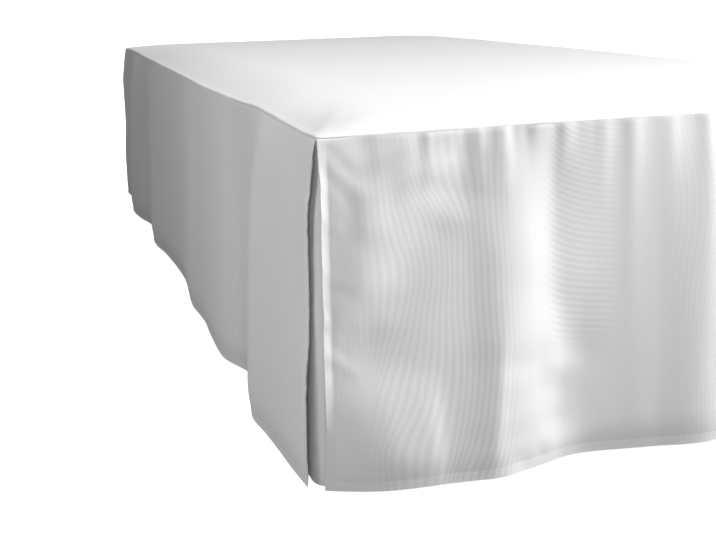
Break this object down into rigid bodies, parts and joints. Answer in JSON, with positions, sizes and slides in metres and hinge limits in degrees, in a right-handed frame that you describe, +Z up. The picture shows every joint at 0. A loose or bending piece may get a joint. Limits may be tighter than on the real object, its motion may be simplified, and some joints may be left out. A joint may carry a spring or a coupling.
{
  "type": "bed skirt on a single bed base",
  "caption": "Tailored bed skirt: a flat deck on a plain bed base, straight hemmed drops at the sides and foot, and split foot corners backed by inserts.",
  "frame": {"origin": "on the floor, below the middle of the whole footprint", "axes": "+Z up, +Y along the bed from the foot to the head, +X to the right seen from the foot, so the left side drop faces -X"},
  "size_m": [0.9959, 2.0538, 0.4136],
  "materials": {
    "skirt_cloth": "white cotton with a fine upright rib weave",
    "deck_cloth": "plain white cotton",
    "base_cover": "plain woven ticking, off-white",
    "leg_wood": "satin beech"
  },
  "bodies": {
    "root": {"deck": "deck_cloth", "drop_left": "skirt_cloth", "drop_right": "skirt_cloth", "drop_foot": "skirt_cloth", "insert_left": "skirt_cloth", "insert_right": "skirt_cloth", "bed_base": "base_cover", "leg_foot_left": "leg_wood", "leg_foot_right": "leg_wood", "leg_head_left": "leg_wood", "leg_head_right": "leg_wood"}
  },
  "joints": []
}
